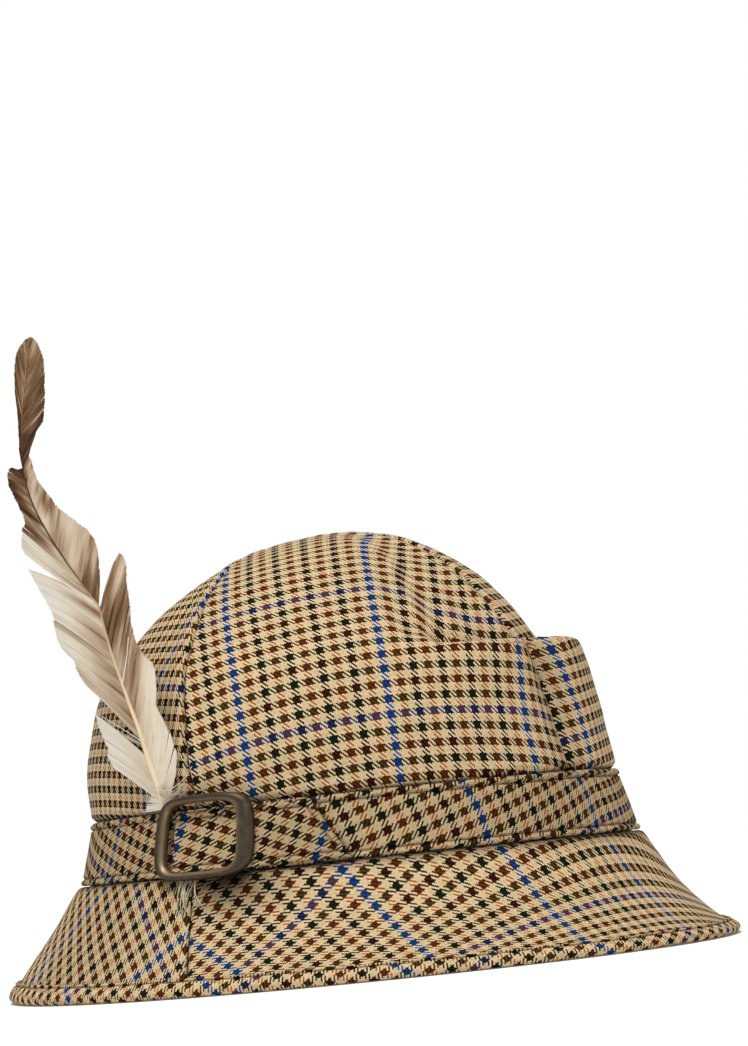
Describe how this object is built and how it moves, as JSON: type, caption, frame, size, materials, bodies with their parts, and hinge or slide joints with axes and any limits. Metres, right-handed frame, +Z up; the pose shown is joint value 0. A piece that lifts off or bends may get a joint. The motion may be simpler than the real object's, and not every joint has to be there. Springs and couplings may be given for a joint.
{
  "type": "trilby",
  "caption": "Round-crowned trilby in checked wool with a down-turned brim, a hat band with a metal buckle, and a feather standing at the side.",
  "frame": {"origin": "centre of the footprint, on the surface that the brim's edge rests on", "axes": "+Z up, -Y towards the front of the hat, -X towards the wearer's right, where the buckle and the feather are"},
  "size_m": [0.2394, 0.2658, 0.2235],
  "materials": {
    "crown_cloth": "checked wool twill, matt",
    "brim_cloth": "checked wool twill, matt, with rows of stitching",
    "band_cloth": "checked wool twill cut on the bias, matt",
    "bronze": "antique bronze, satin, darkened, rubbed bright on its inner edges",
    "plume": "soft matt feather barbs"
  },
  "bodies": {
    "root": {"crown_front_right": "crown_cloth", "crown_front_left": "crown_cloth", "crown_back_right": "crown_cloth", "crown_back_left": "crown_cloth", "brim_front": "brim_cloth", "brim_back": "brim_cloth", "hat_band": "band_cloth", "band_end": "band_cloth", "buckle": "bronze", "feather": "plume"}
  },
  "joints": []
}
